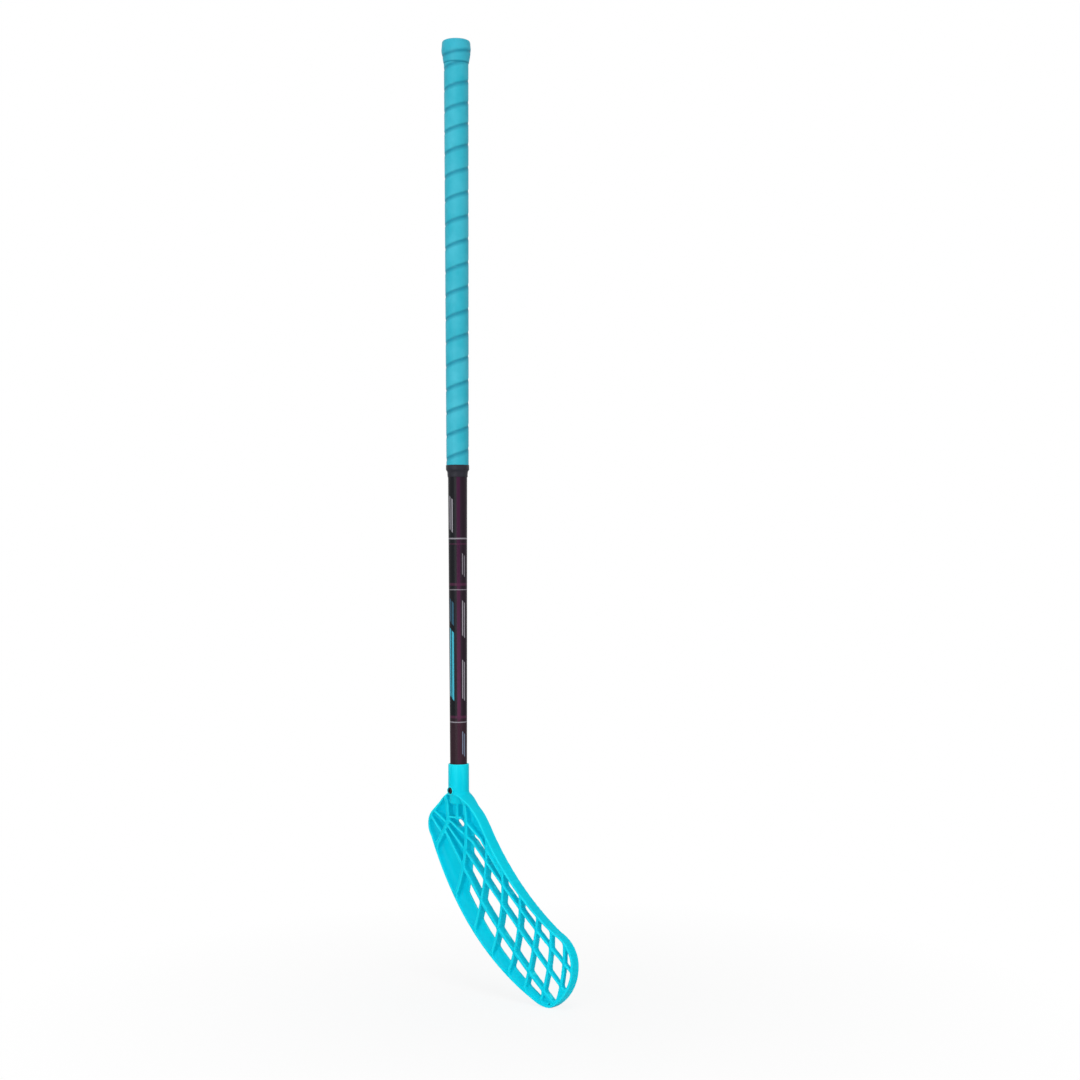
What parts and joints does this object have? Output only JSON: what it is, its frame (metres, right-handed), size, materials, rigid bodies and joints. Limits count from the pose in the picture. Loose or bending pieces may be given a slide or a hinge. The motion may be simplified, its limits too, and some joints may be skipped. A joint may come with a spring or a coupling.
{
  "type": "floorball stick",
  "caption": "Floorball stick: a tapered hollow shaft with a wound ribbon grip, a flared butt end and a hooked lattice blade socketed and screwed on.",
  "frame": {"origin": "on the shaft's axis at the middle of the wound grip", "axes": "+Z along the shaft towards the butt end, +X towards the blade's toe in the blade's plane, -Y out of the blade's open front"},
  "size_m": [0.2136, 0.0404, 1.0882],
  "materials": {
    "shaft": "lacquered composite tube, near-black with plum and turquoise decoration",
    "plug": "moulded, matt",
    "grip": "matt polyurethane ribbon",
    "tape": "black adhesive tape, satin",
    "blade": "injection moulded, satin",
    "screw": "blackened steel"
  },
  "bodies": {
    "stick": {"shaft_tube": "shaft", "end_plug": "plug", "grip_wrap": "grip", "finishing_tape": "tape", "blade": "blade"},
    "screw": {"blade_screw": "screw"}
  },
  "joints": [
    {"name": "blade_screw_out", "type": "slide", "parent": "stick", "child": "screw", "axis": [0, -1, 0], "range_m": [0, 0.012]}
  ]
}
